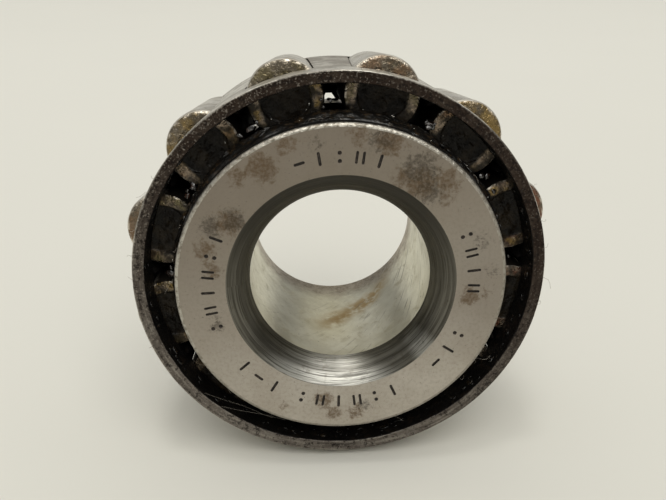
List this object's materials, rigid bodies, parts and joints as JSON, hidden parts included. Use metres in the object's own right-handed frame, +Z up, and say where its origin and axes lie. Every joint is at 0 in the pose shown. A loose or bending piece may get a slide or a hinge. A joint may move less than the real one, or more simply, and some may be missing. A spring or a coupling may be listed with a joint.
{
  "type": "tapered roller bearing cone assembly",
  "caption": "Tapered roller bearing cone assembly: an inner ring with a bore, a pressed cage with a turned-in flange, and tapered rollers that roll on the ring's raceway.",
  "frame": {"origin": "centre of the bore at the back face, the face at the rollers' large ends", "axes": "+Y along the bearing's axis from the back face to the front face, +Z up"},
  "size_m": [0.045, 0.0215, 0.045],
  "materials": {
    "ground_steel": "satin ground steel, stained",
    "pressed_steel": "pressed steel sheet with a thin film of grease",
    "roller_steel": "hardened steel, oily and stained"
  },
  "bodies": {
    "inner_ring": {"inner_ring": "ground_steel"},
    "cage": {"cage": "pressed_steel"},
    "roller_01": {"roller_01": "roller_steel"},
    "roller_02": {"roller_02": "roller_steel"},
    "roller_03": {"roller_03": "roller_steel"},
    "roller_04": {"roller_04": "roller_steel"},
    "roller_05": {"roller_05": "roller_steel"},
    "roller_06": {"roller_06": "roller_steel"},
    "roller_07": {"roller_07": "roller_steel"},
    "roller_08": {"roller_08": "roller_steel"},
    "roller_09": {"roller_09": "roller_steel"},
    "roller_10": {"roller_10": "roller_steel"},
    "roller_11": {"roller_11": "roller_steel"},
    "roller_12": {"roller_12": "roller_steel"}
  },
  "joints": [
    {"name": "cage_orbit", "type": "hinge", "parent": "inner_ring", "child": "cage", "pos_m": [0, 0, 0], "axis": [0, 1, 0], "continuous": true},
    {"name": "roller_01_spin", "type": "hinge", "parent": "cage", "child": "roller_01", "pos_m": [0.0175, 0.01229, 0.00522], "axis": [-0.1201, 0.9921, -0.0358], "continuous": true},
    {"name": "roller_02_spin", "type": "hinge", "parent": "cage", "child": "roller_02", "pos_m": [0.01255, 0.01229, 0.01327], "axis": [-0.0861, 0.9921, -0.0911], "continuous": true},
    {"name": "roller_03_spin", "type": "hinge", "parent": "cage", "child": "roller_03", "pos_m": [0.00423, 0.01229, 0.01776], "axis": [-0.029, 0.9921, -0.1219], "continuous": true},
    {"name": "roller_04_spin", "type": "hinge", "parent": "cage", "child": "roller_04", "pos_m": [-0.00522, 0.01229, 0.0175], "axis": [0.0358, 0.9921, -0.1201], "continuous": true},
    {"name": "roller_05_spin", "type": "hinge", "parent": "cage", "child": "roller_05", "pos_m": [-0.01327, 0.01229, 0.01255], "axis": [0.0911, 0.9921, -0.0861], "continuous": true},
    {"name": "roller_06_spin", "type": "hinge", "parent": "cage", "child": "roller_06", "pos_m": [-0.01776, 0.01229, 0.00423], "axis": [0.1219, 0.9921, -0.029], "continuous": true},
    {"name": "roller_07_spin", "type": "hinge", "parent": "cage", "child": "roller_07", "pos_m": [-0.0175, 0.01229, -0.00522], "axis": [0.1201, 0.9921, 0.0358], "continuous": true},
    {"name": "roller_08_spin", "type": "hinge", "parent": "cage", "child": "roller_08", "pos_m": [-0.01255, 0.01229, -0.01327], "axis": [0.0861, 0.9921, 0.0911], "continuous": true},
    {"name": "roller_09_spin", "type": "hinge", "parent": "cage", "child": "roller_09", "pos_m": [-0.00423, 0.01229, -0.01776], "axis": [0.029, 0.9921, 0.1219], "continuous": true},
    {"name": "roller_10_spin", "type": "hinge", "parent": "cage", "child": "roller_10", "pos_m": [0.00522, 0.01229, -0.0175], "axis": [-0.0358, 0.9921, 0.1201], "continuous": true},
    {"name": "roller_11_spin", "type": "hinge", "parent": "cage", "child": "roller_11", "pos_m": [0.01327, 0.01229, -0.01255], "axis": [-0.0911, 0.9921, 0.0861], "continuous": true},
    {"name": "roller_12_spin", "type": "hinge", "parent": "cage", "child": "roller_12", "pos_m": [0.01776, 0.01229, -0.00423], "axis": [-0.1219, 0.9921, 0.029], "continuous": true}
  ],
  "couplings": [
    {"joint": "roller_01_spin", "follows": "cage_orbit", "ratio": 3.7829},
    {"joint": "roller_02_spin", "follows": "cage_orbit", "ratio": 3.7829},
    {"joint": "roller_03_spin", "follows": "cage_orbit", "ratio": 3.7829},
    {"joint": "roller_04_spin", "follows": "cage_orbit", "ratio": 3.7829},
    {"joint": "roller_05_spin", "follows": "cage_orbit", "ratio": 3.7829},
    {"joint": "roller_06_spin", "follows": "cage_orbit", "ratio": 3.7829},
    {"joint": "roller_07_spin", "follows": "cage_orbit", "ratio": 3.7829},
    {"joint": "roller_08_spin", "follows": "cage_orbit", "ratio": 3.7829},
    {"joint": "roller_09_spin", "follows": "cage_orbit", "ratio": 3.7829},
    {"joint": "roller_10_spin", "follows": "cage_orbit", "ratio": 3.7829},
    {"joint": "roller_11_spin", "follows": "cage_orbit", "ratio": 3.7829},
    {"joint": "roller_12_spin", "follows": "cage_orbit", "ratio": 3.7829}
  ]
}
